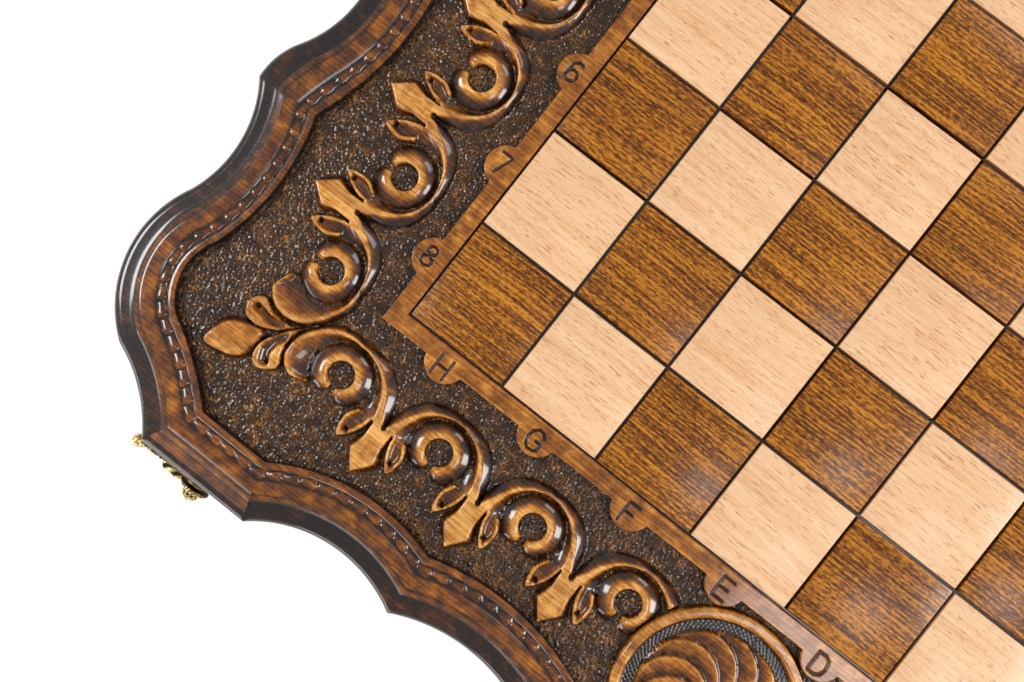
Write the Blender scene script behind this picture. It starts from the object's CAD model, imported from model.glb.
import math

import bmesh
import bpy
import numpy as np
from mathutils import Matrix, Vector


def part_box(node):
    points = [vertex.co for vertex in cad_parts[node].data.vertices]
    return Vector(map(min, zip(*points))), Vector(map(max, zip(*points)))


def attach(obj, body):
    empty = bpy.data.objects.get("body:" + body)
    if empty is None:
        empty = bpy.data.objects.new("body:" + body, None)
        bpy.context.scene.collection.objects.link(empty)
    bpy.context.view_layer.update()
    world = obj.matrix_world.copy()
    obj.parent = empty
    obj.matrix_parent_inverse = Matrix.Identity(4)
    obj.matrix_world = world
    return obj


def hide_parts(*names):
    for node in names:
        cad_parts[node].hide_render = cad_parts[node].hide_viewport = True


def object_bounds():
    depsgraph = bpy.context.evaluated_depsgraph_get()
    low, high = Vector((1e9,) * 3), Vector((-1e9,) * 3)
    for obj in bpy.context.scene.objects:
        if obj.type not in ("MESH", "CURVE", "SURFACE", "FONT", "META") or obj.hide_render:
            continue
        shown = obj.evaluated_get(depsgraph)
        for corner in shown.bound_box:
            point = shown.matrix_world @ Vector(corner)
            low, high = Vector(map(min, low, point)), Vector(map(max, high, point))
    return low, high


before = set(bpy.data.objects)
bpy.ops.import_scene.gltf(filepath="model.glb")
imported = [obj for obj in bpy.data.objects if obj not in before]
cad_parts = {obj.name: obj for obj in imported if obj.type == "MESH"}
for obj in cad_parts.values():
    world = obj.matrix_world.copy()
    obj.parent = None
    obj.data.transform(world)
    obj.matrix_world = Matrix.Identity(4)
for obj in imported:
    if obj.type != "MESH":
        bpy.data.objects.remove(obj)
cad_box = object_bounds()


# Camera
# It hangs over the left front corner of the board and looks almost straight down on it.
# Its place and turn come from the chess grid in the photograph.
def add_camera():
    """A camera with the photograph's lens, place and turn."""
    data = bpy.data.cameras.new("camera")
    data.lens = 33.22
    data.sensor_width = 36.0
    data.clip_start = 0.01
    data.clip_end = 20.0
    camera = bpy.data.objects.new("camera", data)
    camera.location = (-0.11193, -0.14520, 0.36421)
    camera.rotation_euler = [math.radians(turn) for turn in (1.601, 2.116, 38.167)]
    bpy.context.scene.collection.objects.link(camera)
    bpy.context.scene.camera = camera


add_camera()


# Light and floor
# Soft boxes hang above the board, on its right and left and behind it, and a low strip stands in front.
# The floor and the room look pale to the camera, in gloss and in glass. The floor keeps the board's shadow.
WATTS_FOR_GLOW = 4
PALE = (0.62, 0.62, 0.62, 1.0)


def add_lamp(name, place, size, glow):
    """A soft box that faces the board. Its glow is the brightness of its front."""
    data = bpy.data.lights.new(name, "AREA")
    data.shape = "RECTANGLE"
    data.size, data.size_y = size
    data.energy = glow * WATTS_FOR_GLOW * size[0] * size[1]
    lamp = bpy.data.objects.new(name, data)
    lamp.location = place
    lamp.rotation_euler = (-Vector(place)).to_track_quat("-Z", "Y").to_euler()
    bpy.context.scene.collection.objects.link(lamp)


add_lamp("soft_box_above", (0.55, -0.24, 1.25), (0.36, 0.36), 5.0)
add_lamp("soft_box_right", (1.30, 0.27, 0.88), (0.64, 0.66), 11.4)
add_lamp("soft_box_left", (-1.06, -0.48, 0.97), (0.42, 0.43), 13.0)
add_lamp("strip_front", (-0.50, -1.30, 0.21), (1.2, 0.22), 4.6)
add_lamp("soft_box_rear", (0.20, 1.35, 0.90), (0.70, 0.40), 4.0)


def seen_directly(nodes, links):
    """1 for what the camera sees, by itself or in gloss or through glass, and 0 for light that falls."""
    path = nodes.new("ShaderNodeLightPath")
    mirrored = nodes.new("ShaderNodeMath")
    mirrored.operation = "ADD"
    links.new(path.outputs["Is Glossy Ray"], mirrored.inputs[0])
    links.new(path.outputs["Is Transmission Ray"], mirrored.inputs[1])
    seen = nodes.new("ShaderNodeMath")
    seen.operation = "ADD"
    seen.use_clamp = True
    links.new(path.outputs["Is Camera Ray"], seen.inputs[0])
    links.new(mirrored.outputs[0], seen.inputs[1])
    return seen.outputs[0]


def add_world():
    """The pale room round the scene, which gives a weak even light."""
    world = bpy.data.worlds.new("room")
    world.use_nodes = True
    nodes, links = world.node_tree.nodes, world.node_tree.links
    background = nodes["Background"]
    background.inputs["Color"].default_value = (1.0, 1.0, 1.0, 1.0)
    # the room looks pale, and lights the board only dimly and evenly
    level = nodes.new("ShaderNodeMapRange")
    level.inputs["To Min"].default_value = 0.26
    level.inputs["To Max"].default_value = 0.62
    links.new(seen_directly(nodes, links), level.inputs["Value"])
    links.new(level.outputs["Result"], background.inputs["Strength"])
    bpy.context.scene.world = world
    bpy.context.scene.view_settings.view_transform = "Standard"


add_world()


def add_floor():
    """A wide pale floor, which is stage and no part of the board."""
    floor_size = 6.0
    bpy.ops.mesh.primitive_plane_add(size=floor_size)
    floor = bpy.context.object
    floor.name = "floor"
    mat = bpy.data.materials.new("pale_floor")
    mat.use_nodes = True
    nodes, links = mat.node_tree.nodes, mat.node_tree.links
    nodes.clear()
    glow = nodes.new("ShaderNodeEmission")
    links.new(seen_directly(nodes, links), glow.inputs["Strength"])
    glow.inputs["Color"].default_value = PALE
    paint = nodes.new("ShaderNodeBsdfDiffuse")
    paint.inputs["Color"].default_value = PALE
    both = nodes.new("ShaderNodeAddShader")
    out = nodes.new("ShaderNodeOutputMaterial")
    links.new(glow.outputs[0], both.inputs[0])
    links.new(paint.outputs[0], both.inputs[1])
    links.new(both.outputs[0], out.inputs["Surface"])
    floor.data.materials.append(mat)


add_floor()


# Outline of the carved panels
# Each half of the board is a beech slab, sawn to a scalloped outline and moulded along its edge.
# The outline runs from the seam round the left front corner to the middle of the front, and is mirrored.
MM = 0.001
SQUARE = 40.0
GROOVE = 1.0
FIELD = 4 * SQUARE
HALF_SEAM = 0.6
EDGE = FIELD + 93.0
BAND_W = 23.0
INNER = EDGE - BAND_W
FACET_NEAR = FIELD + 2.0
FACET_FAR = FIELD + 48.0
TOP_Z = cad_box[1].z / MM
RELIEF = 3.5
GROUND_Z = TOP_Z - RELIEF
SLAB_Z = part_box("front_carved_panel")[0].z / MM
CORE_Z = GROUND_Z - 1.0
HALVES = (("front", False), ("rear", True))

# Each knot is x, y, bow: the arc to the next knot bows to the right of travel by that much
OUTER_KNOTS = [
    (-(EDGE + 4), -HALF_SEAM, 0.9), (-(EDGE + 2), -43, 1.6), (-(EDGE - 1.6), -(FIELD - 99), -7.4),
    (-(EDGE - 1.6), -(FIELD - 50), 1.4), (-(EDGE + 2.2), -(FIELD - 33), -6.2),
    (-(EDGE - 3.6), -(FIELD + 13), 11.4), (-(EDGE - 17.6), -(EDGE - 21.6), -2.8),
    (-FACET_FAR, -EDGE, 0), (-FACET_NEAR, -EDGE, -9.4), (-(FIELD - 57), -(EDGE - 6.8), -7.8),
    (-42, -(EDGE - 6.8), 2.7), (0, -(EDGE + 4), 0),
]
INNER_KNOTS = [
    (-(INNER + 7), -HALF_SEAM, 0.6), (-(INNER - 2), -44, -0.3), (-(INNER - 7.3), -(FIELD - 99), -2.9),
    (-(INNER - 7.3), -(FIELD - 51), -0.3), (-(INNER - 2), -(FIELD - 34), -4.8),
    (-(INNER - 1.8), -(FIELD + 22), 5.6), (-(INNER - 7.2), -(INNER - 20), -1.3),
    (-(FACET_FAR - 0.56 * BAND_W), -INNER, 0), (-(FACET_NEAR + 0.24 * BAND_W), -INNER, -7.3),
    (-(FIELD - 56), -(INNER - 9.5), -7.1), (-42 + 0.4 * BAND_W, -(INNER - 4.4), 2.1),
    (0, -(INNER + 7), 0),
]
FACET_ARC = 7
ARC_STEPS = 36


def arc(a, b, steps):
    """Points of the arc from knot a up to, but without, knot b."""
    start, end = np.array(a[:2], float), np.array(b[:2], float)
    span = np.hypot(*(end - start))
    ahead = (end - start) / span
    right = np.array([ahead[1], -ahead[0]])
    t = np.arange(steps) / steps
    if abs(a[2]) < 0.01:
        return start + np.outer(t, end - start)
    half = 2 * math.atan(2 * a[2] / span)
    r = span / 2 / math.sin(half)
    turn = half * (2 * t - 1)
    middle = (start + end) / 2
    rise = r * (np.cos(turn) - math.cos(half))
    return middle + np.outer(r * np.sin(turn), ahead) + np.outer(rise, right)


def along(knots, steps):
    """Points along all the arcs between knots, in so many steps each."""
    parts = [arc(knots[i], knots[i + 1], steps) for i in range(len(knots) - 1)]
    return np.vstack(parts + [np.array([knots[-1][:2]], float)])


outer_line = along(OUTER_KNOTS, ARC_STEPS)
inner_line = along(INNER_KNOTS, ARC_STEPS)


def edge_line(inset):
    """The line that runs this far inside the edge of the front half, from seam to seam."""
    quarter = outer_line + (inner_line - outer_line) * inset / BAND_W
    mirrored = quarter[-2::-1] * np.array([-1.0, 1.0])
    return np.vstack([quarter, mirrored])


def new_piece(name, points, faces, material, tone=None, rear=False):
    """A mesh object from points in millimetres. The rear half is the front half's mirror image."""
    points = np.array(points, float)
    if rear:
        points = points * np.array([1.0, -1.0, 1.0])
        faces = [tuple(reversed(f)) for f in faces]
    mesh = bpy.data.meshes.new(name)
    mesh.from_pydata((points * MM).tolist(), [], faces)
    if tone is not None:
        layer = mesh.attributes.new("tone", "FLOAT", "POINT")
        layer.data.foreach_set("value", np.array(tone, np.float32))
    mesh.materials.append(material)
    mesh.shade_smooth()
    mesh.update()
    piece = bpy.data.objects.new(name, mesh)
    bpy.context.scene.collection.objects.link(piece)
    return piece


def closed(piece, sharp=None):
    """Turns every face of a closed mesh outwards, and marks its crisp edges."""
    work = bmesh.new()
    work.from_mesh(piece.data)
    bmesh.ops.recalc_face_normals(work, faces=work.faces)
    work.to_mesh(piece.data)
    work.free()
    if sharp is not None:
        piece.data.set_sharp_from_angle(angle=math.radians(sharp))
    return piece


def skin(rows, around, start=0):
    """Faces between rings of points that follow one another, ring after ring."""
    faces = []
    for i in range(rows - 1):
        for k in range(around):
            a, b = start + i * around + k, start + i * around + (k + 1) % around
            faces.append((a, b, b + around, a + around))
    return faces


def finish_piece(piece, body, slot, *nodes):
    """Puts a piece on its body and slot, in place of the CAD nodes named."""
    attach(piece, body)
    if nodes:
        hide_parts(*nodes)


# Stained and lacquered beech
# One group makes the grain of beech: streaks along X, short dark ray flecks, and fine fibre for the bump.
# Every piece whose grain shows takes it with its own strengths.
def grain_group():
    """The node group of the grain, with its sizes as inputs and its masks as outputs."""
    tree = bpy.data.node_groups.new("beech_grain", "ShaderNodeTree")
    face = tree.interface
    face.new_socket("Vector", in_out="INPUT", socket_type="NodeSocketVector")
    for label, value in (("Streak size", 420.0), ("Wave", 0.0035), ("Fleck size", 1400.0)):
        face.new_socket(label, in_out="INPUT", socket_type="NodeSocketFloat").default_value = value
    for label in ("Streaks", "Flecks", "Fibre", "Cloud", "Lines"):
        face.new_socket(label, in_out="OUTPUT", socket_type="NodeSocketFloat")
    nodes, links = tree.nodes, tree.links
    given = nodes.new("NodeGroupInput")
    out = nodes.new("NodeGroupOutput")

    def math_node(kind, a, b=None):
        """A Math node on numbers or sockets."""
        node = nodes.new("ShaderNodeMath")
        node.operation = kind
        for socket, value in zip(node.inputs, (a, b)):
            if isinstance(value, (int, float)):
                socket.default_value = value
            elif value is not None:
                links.new(value, socket)
        return node.outputs[0]

    def noise(vector, scale, detail, rough):
        """Noise whose scale is a number or a socket."""
        node = nodes.new("ShaderNodeTexNoise")
        node.inputs["Scale"].default_value = 1.0
        node.inputs["Detail"].default_value = detail
        node.inputs["Roughness"].default_value = rough
        if isinstance(scale, float):
            node.inputs["Scale"].default_value = scale
        else:
            links.new(scale, node.inputs["Scale"])
        links.new(vector, node.inputs["Vector"])
        return node.outputs["Fac"]

    def stretched(vector, along_x):
        """Places with X scaled, so that a pattern runs along the grain."""
        node = nodes.new("ShaderNodeVectorMath")
        node.operation = "MULTIPLY"
        links.new(vector, node.inputs[0])
        node.inputs[1].default_value = (along_x, 1.0, 1.0)
        return node.outputs[0]

    # slow waves push the streaks sideways
    slow = noise(stretched(given.outputs["Vector"], 0.5), 28.0, 2.0, 0.5)
    push = math_node("MULTIPLY", math_node("SUBTRACT", slow, 0.5), given.outputs["Wave"])
    shift = nodes.new("ShaderNodeCombineXYZ")
    links.new(push, shift.inputs["Y"])
    waved = nodes.new("ShaderNodeVectorMath")
    links.new(given.outputs["Vector"], waved.inputs[0])
    links.new(shift.outputs[0], waved.inputs[1])
    streaks = noise(stretched(waved.outputs[0], 0.06), given.outputs["Streak size"], 5.0, 0.62)
    links.new(streaks, out.inputs["Streaks"])
    # flecks are the peaks of a noise that is stretched eleven times along the grain
    spots = noise(stretched(waved.outputs[0], 0.09), given.outputs["Fleck size"], 1.0, 0.4)
    cut = nodes.new("ShaderNodeMapRange")
    cut.inputs["From Min"].default_value = 0.635
    cut.inputs["From Max"].default_value = 0.665
    links.new(spots, cut.inputs["Value"])
    links.new(cut.outputs["Result"], out.inputs["Flecks"])
    links.new(noise(stretched(waved.outputs[0], 0.05), 2600.0, 3.0, 0.6), out.inputs["Fibre"])
    links.new(noise(given.outputs["Vector"], 24.0, 3.0, 0.5), out.inputs["Cloud"])
    # the growth lines: wavy bands a millimetre or two apart
    lines = nodes.new("ShaderNodeTexWave")
    lines.bands_direction = "Y"
    lines.inputs["Scale"].default_value = 190.0
    lines.inputs["Distortion"].default_value = 9.0
    lines.inputs["Detail"].default_value = 4.0
    lines.inputs["Detail Scale"].default_value = 0.9
    lines.inputs["Detail Roughness"].default_value = 0.6
    links.new(stretched(waved.outputs[0], 0.10), lines.inputs["Vector"])
    links.new(lines.outputs["Fac"], out.inputs["Lines"])
    return tree


GRAIN = grain_group()


class Finish:
    """A material under construction, with short ways to add and join its nodes."""

    def __init__(self, name, coat=0.0, roughness=0.4):
        """A new node material with this coat and roughness."""
        self.mat = bpy.data.materials.new(name)
        self.mat.use_nodes = True
        self.nodes = self.mat.node_tree.nodes
        self.links = self.mat.node_tree.links
        self.shader = self.nodes["Principled BSDF"]
        self.shader.inputs["Roughness"].default_value = roughness
        self.shader.inputs["Coat Weight"].default_value = coat
        self.shader.inputs["Coat Roughness"].default_value = 0.12

    def put(self, socket, value):
        """Sets an input to a number or colour, or links it to a socket."""
        if isinstance(value, bpy.types.NodeSocket):
            self.links.new(value, socket)
        elif isinstance(value, tuple):
            opaque = len(value) == 3 and len(socket.default_value) == 4
            socket.default_value = value + (1.0,) if opaque else value
        else:
            socket.default_value = value

    def coordinates(self):
        """Places in the piece's own coordinates."""
        return self.nodes.new("ShaderNodeTexCoord").outputs["Object"]

    def attribute(self, name):
        """The node that reads a named attribute of the mesh."""
        node = self.nodes.new("ShaderNodeAttribute")
        node.attribute_name = name
        return node

    def math(self, kind, a, b=0.0, clamp=False):
        """A Math node on numbers or sockets."""
        node = self.nodes.new("ShaderNodeMath")
        node.operation = kind
        node.use_clamp = clamp
        self.put(node.inputs[0], a)
        self.put(node.inputs[1], b)
        return node.outputs[0]

    def mix(self, share, a, b, kind="MIX"):
        """Two colours mixed by a share."""
        node = self.nodes.new("ShaderNodeMix")
        node.data_type = "RGBA"
        node.blend_type = kind
        self.put(node.inputs["Factor"], share)
        self.put(node.inputs[6], a)
        self.put(node.inputs[7], b)
        return node.outputs[2]

    def ramp(self, value, *stops):
        """A colour ramp through (place, colour) stops."""
        node = self.nodes.new("ShaderNodeValToRGB")
        ramp = node.color_ramp
        while len(ramp.elements) < len(stops):
            ramp.elements.new(0.5)
        for element, (place, colour) in zip(ramp.elements, stops):
            element.position = place
            element.color = colour + (1.0,)
        self.put(node.inputs["Fac"], value)
        return node.outputs["Color"]

    def remap(self, value, low, high, to_low=0.0, to_high=1.0):
        """A value brought from one range to another and kept within it."""
        node = self.nodes.new("ShaderNodeMapRange")
        self.put(node.inputs["Value"], value)
        numbers = {"From Min": low, "From Max": high, "To Min": to_low, "To Max": to_high}
        for label, number in numbers.items():
            node.inputs[label].default_value = number
        return node.outputs["Result"]

    def noise(self, vector, scale, detail=2.0, rough=0.5):
        """A noise texture's value."""
        node = self.nodes.new("ShaderNodeTexNoise")
        self.put(node.inputs["Vector"], vector)
        node.inputs["Scale"].default_value = scale
        node.inputs["Detail"].default_value = detail
        node.inputs["Roughness"].default_value = rough
        return node.outputs["Fac"]

    def grain(self, vector, streak_size=420.0, wave=0.0035, fleck_size=1400.0):
        """The outputs of the grain group at these places."""
        node = self.nodes.new("ShaderNodeGroup")
        node.node_tree = GRAIN
        self.put(node.inputs["Vector"], vector)
        node.inputs["Streak size"].default_value = streak_size
        node.inputs["Wave"].default_value = wave
        node.inputs["Fleck size"].default_value = fleck_size
        return node.outputs

    def bump(self, height, depth, normal=None):
        """A normal from a height, on top of another if one is given."""
        node = self.nodes.new("ShaderNodeBump")
        node.inputs["Distance"].default_value = depth
        self.put(node.inputs["Height"], height)
        if normal is not None:
            self.links.new(normal, node.inputs["Normal"])
        return node.outputs["Normal"]

    def done(self, colour, normal=None, roughness=None):
        """Feeds the shader and gives the finished material."""
        self.put(self.shader.inputs["Base Color"], colour)
        if normal is not None:
            self.links.new(normal, self.shader.inputs["Normal"])
        if roughness is not None:
            self.put(self.shader.inputs["Roughness"], roughness)
        return self.mat


def carved_beech():
    """Tone 0 is the deep stain of the recesses, and tone 1 the amber of the rubbed high places."""
    f = Finish("carved_beech", roughness=0.36)
    f.shader.inputs["Coat IOR"].default_value = 1.55
    f.shader.inputs["Specular IOR Level"].default_value = 0.1
    place = f.coordinates()
    grain = f.grain(place)
    tone = f.attribute("tone").outputs["Fac"]
    blotches = f.noise(place, 210.0, 4.0, 0.62)
    rubbed = f.math("ADD", tone, f.remap(grain["Cloud"], 0.3, 0.7, -0.08, 0.08), clamp=True)
    rubbed = f.math("ADD", rubbed, f.remap(blotches, 0.3, 0.7, -0.24, 0.20), clamp=True)
    rubbed = f.math("ADD", rubbed, f.remap(grain["Lines"], 0.0, 1.0, -0.06, 0.06), clamp=True)
    scratches = f.remap(grain["Fibre"], 0.60, 0.72, 0.0, 0.16)
    rubbed = f.math("ADD", rubbed, scratches, clamp=True)
    colour = f.ramp(
        rubbed,
        (0.0, (0.005, 0.002, 0.001)), (0.18, (0.034, 0.009, 0.000)), (0.38, (0.132, 0.036, 0.001)),
        (0.60, (0.350, 0.110, 0.003)), (0.80, (0.600, 0.235, 0.022)), (1.0, (0.860, 0.440, 0.115)),
    )
    dark_streak = f.remap(grain["Streaks"], 0.42, 0.62, 0.60, 0.0)
    colour = f.mix(dark_streak, colour, (0.36, 0.24, 0.16), "MULTIPLY")
    colour = f.mix(f.math("MULTIPLY", grain["Flecks"], 0.5), colour, (0.35, 0.22, 0.14), "MULTIPLY")
    # the punched ground is nearly black, with orange flecks left on its crests
    cells = f.nodes.new("ShaderNodeTexVoronoi")
    cells.feature = "DISTANCE_TO_EDGE"
    cells.inputs["Scale"].default_value = 620.0
    pushed = f.nodes.new("ShaderNodeVectorMath")
    pushed.operation = "MULTIPLY_ADD"
    wobble = f.nodes.new("ShaderNodeTexNoise")
    wobble.inputs["Scale"].default_value = 500.0
    f.put(wobble.inputs["Vector"], place)
    f.put(pushed.inputs[0], wobble.outputs["Color"])
    pushed.inputs[1].default_value = (0.0012, 0.0012, 0.0012)
    f.put(pushed.inputs[2], place)
    f.put(cells.inputs["Vector"], pushed.outputs[0])
    crest = f.remap(cells.outputs["Distance"], 0.02, 0.22, 1.0, 0.0)
    patches = f.noise(place, 260.0, 3.0, 0.6)
    shown = f.math("MULTIPLY", crest, f.remap(patches, 0.38, 0.66))
    ground = f.ramp(
        shown,
        (0.0, (0.036, 0.013, 0.002)), (0.35, (0.120, 0.045, 0.007)), (0.70, (0.240, 0.092, 0.016)),
        (1.0, (0.52, 0.21, 0.035)),
    )
    is_ground = f.math("LESS_THAN", tone, 0.0)
    colour = f.mix(is_ground, colour, ground)
    fine = f.bump(f.math("MULTIPLY", crest, is_ground), 0.0007)
    normal = f.bump(grain["Fibre"], 0.00006, fine)
    rough = f.remap(grain["Cloud"], 0.3, 0.7, 0.32, 0.42)
    f.put(f.shader.inputs["Coat Weight"], f.remap(is_ground, 0.0, 1.0, 0.85, 0.60))
    return f.done(colour, normal, rough)


CARVED = carved_beech()


# Edge moulding and band
# The edge is a rounded nose, a dark cove and a flat amber band, all worked in the slab itself.
# On the two straight facets the cove gives way to a slope with two scratched lines.
NOSE_R = 3.4
NOSE_Z = TOP_Z - 7.8
MOULD_W = 11.0
CHAIN_AT = 18.3
CHAIN_W = 2.35
CHAIN_D = 0.85
SCRATCH_D = 0.08


def edge_sections():
    """The border's two sections, for curves and for facets: like rows of inset, height and tone."""
    both = ([], [])
    turns = np.radians(np.linspace(-60, 90, 13))
    nose = [(NOSE_R * (1 - math.cos(a)), NOSE_Z + NOSE_R * math.sin(a)) for a in turns]
    for inset, z in [(2.0, SLAB_Z)] + nose:
        for section in both:
            section.append((inset, z, 0.10))
    start_z = NOSE_Z + NOSE_R
    cove = [
        (3.8, 0.0, 0.10), (5.0, 0.05, 0.10), (6.2, 0.1, 0.09), (7.4, 0.2, 0.08), (7.9, 0.4, 0.06),
        (8.2, 1.0, 0.06), (8.4, 1.9, 0.08), (8.6, 2.6, 0.16), (8.9, 2.95, 0.30), (9.5, 3.15, 0.42),
        (10.2, 3.38, 0.42), (10.95, 3.6, 0.20),
    ]
    for step, (cove_in, cove_up, cove_tone) in enumerate(cove):
        share = (step + 1) / len(cove)
        both[0].append((cove_in, start_z + cove_up, cove_tone))
        scratch = SCRATCH_D if step in (5, 9) else 0.0
        slope_in = NOSE_R + (MOULD_W + 1.0 - NOSE_R) * share
        slope_z = start_z + (TOP_Z - start_z - 0.15) * share
        both[1].append((slope_in, slope_z - scratch, 0.44 - 0.30 * scratch / SCRATCH_D))
    near, far = CHAIN_AT - CHAIN_W, CHAIN_AT + CHAIN_W
    flat = [
        (MOULD_W + 0.02, -0.12, 0.02), (MOULD_W + 0.2, -0.02, 0.30), (MOULD_W + 0.9, 0.0, 0.48),
        (near - 1.0, 0.0, 0.50), (near - 0.2, -0.03, 0.48), (near, -0.12, 0.38),
        (near + 0.5, -0.8 * CHAIN_D, 0.18), (CHAIN_AT, -CHAIN_D, 0.09), (far - 0.5, -0.8 * CHAIN_D, 0.18),
        (far, -0.12, 0.38), (far + 0.2, -0.03, 0.48),
        (BAND_W - 0.35, 0.0, 0.48), (BAND_W - 0.08, -0.08, 0.34), (BAND_W, -0.4, 0.04),
        (BAND_W + 0.25, CORE_Z - TOP_Z, 0.0), (BAND_W, CORE_Z - TOP_Z, 0.0),
        (BAND_W, SLAB_Z - TOP_Z, 0.3),
    ]
    for inset, drop, tone in flat:
        for section, on_facet in zip(both, (False, True)):
            if on_facet and inset < MOULD_W + 2:
                section.append((max(inset, MOULD_W + 1.05), TOP_Z + 0.3 * drop, tone))
            else:
                section.append((inset, TOP_Z + drop, tone))
    return both


def moulding(half, rear):
    """The moulding and band of one half, as one closed form along its outline."""
    curved, facet = edge_sections()
    lines = {row[0]: edge_line(row[0]) for section in (curved, facet) for row in section}
    last = 2 * len(outer_line) - 2
    start, end = FACET_ARC * ARC_STEPS, (FACET_ARC + 1) * ARC_STEPS
    stations = []
    for i in range(last + 1):
        from_seam = min(i, last - i)
        opens = from_seam == (start if i < last / 2 else end)
        closes = from_seam == (end if i < last / 2 else start)
        if opens:
            stations += [(i, curved), (i, facet)]
        elif closes:
            stations += [(i, facet), (i, curved)]
        else:
            stations.append((i, facet if start < from_seam < end else curved))
    points = [(*lines[inset][i], z) for i, section in stations for inset, z, _ in section]
    tones = [tone for _, section in stations for _, _, tone in section]
    n = len(curved)
    faces = skin(len(stations), n)
    faces.append(tuple(range(n)))
    faces.append(tuple(range((len(stations) - 1) * n, len(stations) * n)))
    piece = closed(new_piece(half + "_moulding", points, faces, CARVED, tones, rear), 55)
    finish_piece(piece, half + "_case", "carved_beech", half + "_carved_panel")


def slab_core(half, rear):
    """The plain wood under the carving, out to the inner line of the band."""
    line = edge_line(BAND_W)
    n = len(line)
    points = [(x, y, z) for z in (SLAB_Z, CORE_Z) for x, y in line]
    faces = [tuple(range(n)), tuple(range(n, 2 * n))] + skin(2, n)
    piece = closed(new_piece(half + "_panel_core", points, faces, CARVED, [0.5] * 2 * n, rear), 30)
    finish_piece(piece, half + "_case", "carved_beech", half + "_carved_panel")


for half, rear in HALVES:
    moulding(half, rear)
    slab_core(half, rear)


# Chain on the band
# A chain of overlapping scales is cut along the middle of the band with a half-round gouge.
# Its scales run from the seam round each corner to the middle of the front, round end first.
LINK_L = 6.2
LINK_NECK = 1.15
WIDEST = 0.66


def link_shape(name):
    """One scale: narrow where it comes out from under the last, domed, and steep at its round end."""
    rows, columns = 8, 5
    points, tones = [], []
    for i in range(rows):
        t = i / (rows - 1)
        if t > WIDEST:
            half_w = CHAIN_W * math.sqrt(max(0.0, 1 - ((t - WIDEST) / 0.34) ** 3))
        else:
            half_w = LINK_NECK + 1.20 * (t / WIDEST) ** 1.6
        rise = 0.12 + 0.88 * min(1.0, t / 0.50)
        for j in range(columns):
            side = math.sin(math.pi * (j / (columns - 1) - 0.5))
            z = (CHAIN_D - 0.04) * rise * max(0.0, 1 - abs(side) ** 2.2) ** 0.6
            points.append(((t - 0.5) * (LINK_L + 0.9), half_w * side, z if 0 < i < rows - 1 else 0.05))
            tones.append(0.02 + (0.26 + 0.18 * rise) * (1 - abs(side) ** 4) if i < rows - 1 else 0.02)
    faces = [
        (i * columns + j, (i + 1) * columns + j, (i + 1) * columns + j + 1, i * columns + j + 1)
        for i in range(rows - 1) for j in range(columns - 1)
    ]
    base = len(points)
    rim = list(range(columns)) + [i * columns + columns - 1 for i in range(1, rows)]
    rim += [(rows - 1) * columns + j for j in range(columns - 2, -1, -1)]
    rim += [i * columns for i in range(rows - 2, 0, -1)]
    points += [(points[i][0], points[i][1], -0.4) for i in rim]
    tones += [0.03] * len(rim)
    n = len(rim)
    faces += [(rim[i], rim[(i + 1) % n], base + (i + 1) % n, base + i) for i in range(n)]
    faces.append(tuple(base + i for i in range(n - 1, -1, -1)))
    return closed(new_piece(name, points, faces, CARVED, tones))


def chain_tree():
    """The tree that sets one scale after another along a curve."""
    tree = bpy.data.node_groups.new("scales_along_path", "GeometryNodeTree")
    face = tree.interface
    face.new_socket("Geometry", in_out="INPUT", socket_type="NodeSocketGeometry")
    face.new_socket("Spacing", in_out="INPUT", socket_type="NodeSocketFloat").default_value = LINK_L * MM
    face.new_socket("Scale shape", in_out="INPUT", socket_type="NodeSocketObject")
    face.new_socket("Finish", in_out="INPUT", socket_type="NodeSocketMaterial")
    face.new_socket("Geometry", in_out="OUTPUT", socket_type="NodeSocketGeometry")
    nodes, links = tree.nodes, tree.links
    given = nodes.new("NodeGroupInput")
    out = nodes.new("NodeGroupOutput")
    spaced = nodes.new("GeometryNodeResampleCurve")
    spaced.mode = "LENGTH"
    links.new(given.outputs["Geometry"], spaced.inputs["Curve"])
    links.new(given.outputs["Spacing"], spaced.inputs["Length"])
    tangent = nodes.new("GeometryNodeInputTangent")
    turn = nodes.new("FunctionNodeAlignEulerToVector")
    turn.axis = "X"
    turn.pivot_axis = "Z"
    links.new(tangent.outputs[0], turn.inputs["Vector"])
    shape = nodes.new("GeometryNodeObjectInfo")
    links.new(given.outputs["Scale shape"], shape.inputs["Object"])
    size = nodes.new("FunctionNodeRandomValue")
    size.data_type = "FLOAT"
    size.inputs[2].default_value = 0.93
    size.inputs[3].default_value = 1.05
    size.inputs["Seed"].default_value = 7
    laid = nodes.new("GeometryNodeInstanceOnPoints")
    links.new(spaced.outputs[0], laid.inputs["Points"])
    links.new(shape.outputs["Geometry"], laid.inputs["Instance"])
    links.new(turn.outputs[0], laid.inputs["Rotation"])
    links.new(size.outputs[1], laid.inputs["Scale"])
    real = nodes.new("GeometryNodeRealizeInstances")
    links.new(laid.outputs[0], real.inputs[0])
    dressed = nodes.new("GeometryNodeSetMaterial")
    links.new(real.outputs[0], dressed.inputs["Geometry"])
    links.new(given.outputs["Finish"], dressed.inputs["Material"])
    links.new(dressed.outputs[0], out.inputs[0])
    return tree


def grown(carrier, tree, name, **inputs):
    """The plain mesh that a Geometry Nodes tree makes from its carrier, with the carrier taken away."""
    modifier = carrier.modifiers.new("grow", "NODES")
    modifier.node_group = tree
    for item in tree.interface.items_tree:
        if item.item_type == "SOCKET" and item.in_out == "INPUT" and item.name in inputs:
            modifier[item.identifier] = inputs[item.name]
    shown = carrier.evaluated_get(bpy.context.evaluated_depsgraph_get())
    mesh = bpy.data.meshes.new_from_object(shown)
    mesh.name = name
    bpy.data.objects.remove(carrier)
    piece = bpy.data.objects.new(name, mesh)
    bpy.context.scene.collection.objects.link(piece)
    return piece


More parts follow.
